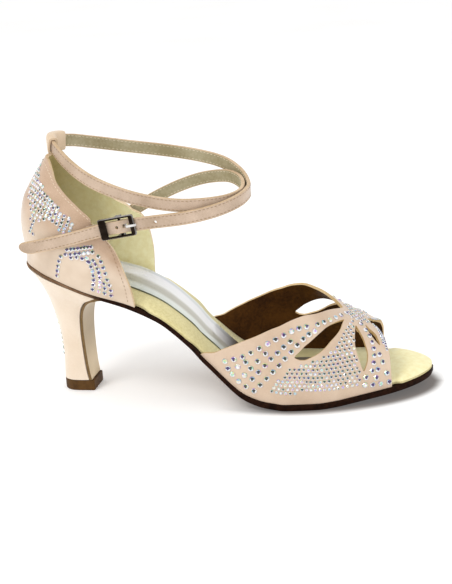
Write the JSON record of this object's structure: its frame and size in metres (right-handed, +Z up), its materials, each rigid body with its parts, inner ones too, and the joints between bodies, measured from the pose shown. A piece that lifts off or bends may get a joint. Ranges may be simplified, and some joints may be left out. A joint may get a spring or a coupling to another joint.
{
  "type": "ballroom dance shoe",
  "caption": "Open toe ballroom sandal in satin with a flared heel, a cut-out vamp, a closed counter and a long ankle strap that buckles on the outer side",
  "frame": {"origin": "on the floor under the heel, on the flat underside of the heel tip", "axes": "+X from the heel towards the toe, +Y towards the inner side of the foot, +Z up"},
  "size_m": [0.2191, 0.0851, 0.1437],
  "materials": {
    "sole_leather": "matt brown leather",
    "heel_satin": "satin cloth",
    "tip": "satin",
    "suede": "matt suede",
    "silver": "metallic foil",
    "satin": "satin cloth",
    "dark_metal": "polished dark plating",
    "bright_metal": "polished"
  },
  "bodies": {
    "root": {"outsole": "sole_leather", "heel": "heel_satin", "heel_tip": "tip", "insole": "suede", "sock": "silver", "vamp": "satin", "quarter": "satin", "heel_loop": "satin", "ankle_strap": "satin", "buckle_frame": "dark_metal", "prong": "bright_metal", "buckle_tab": "satin"}
  },
  "joints": []
}
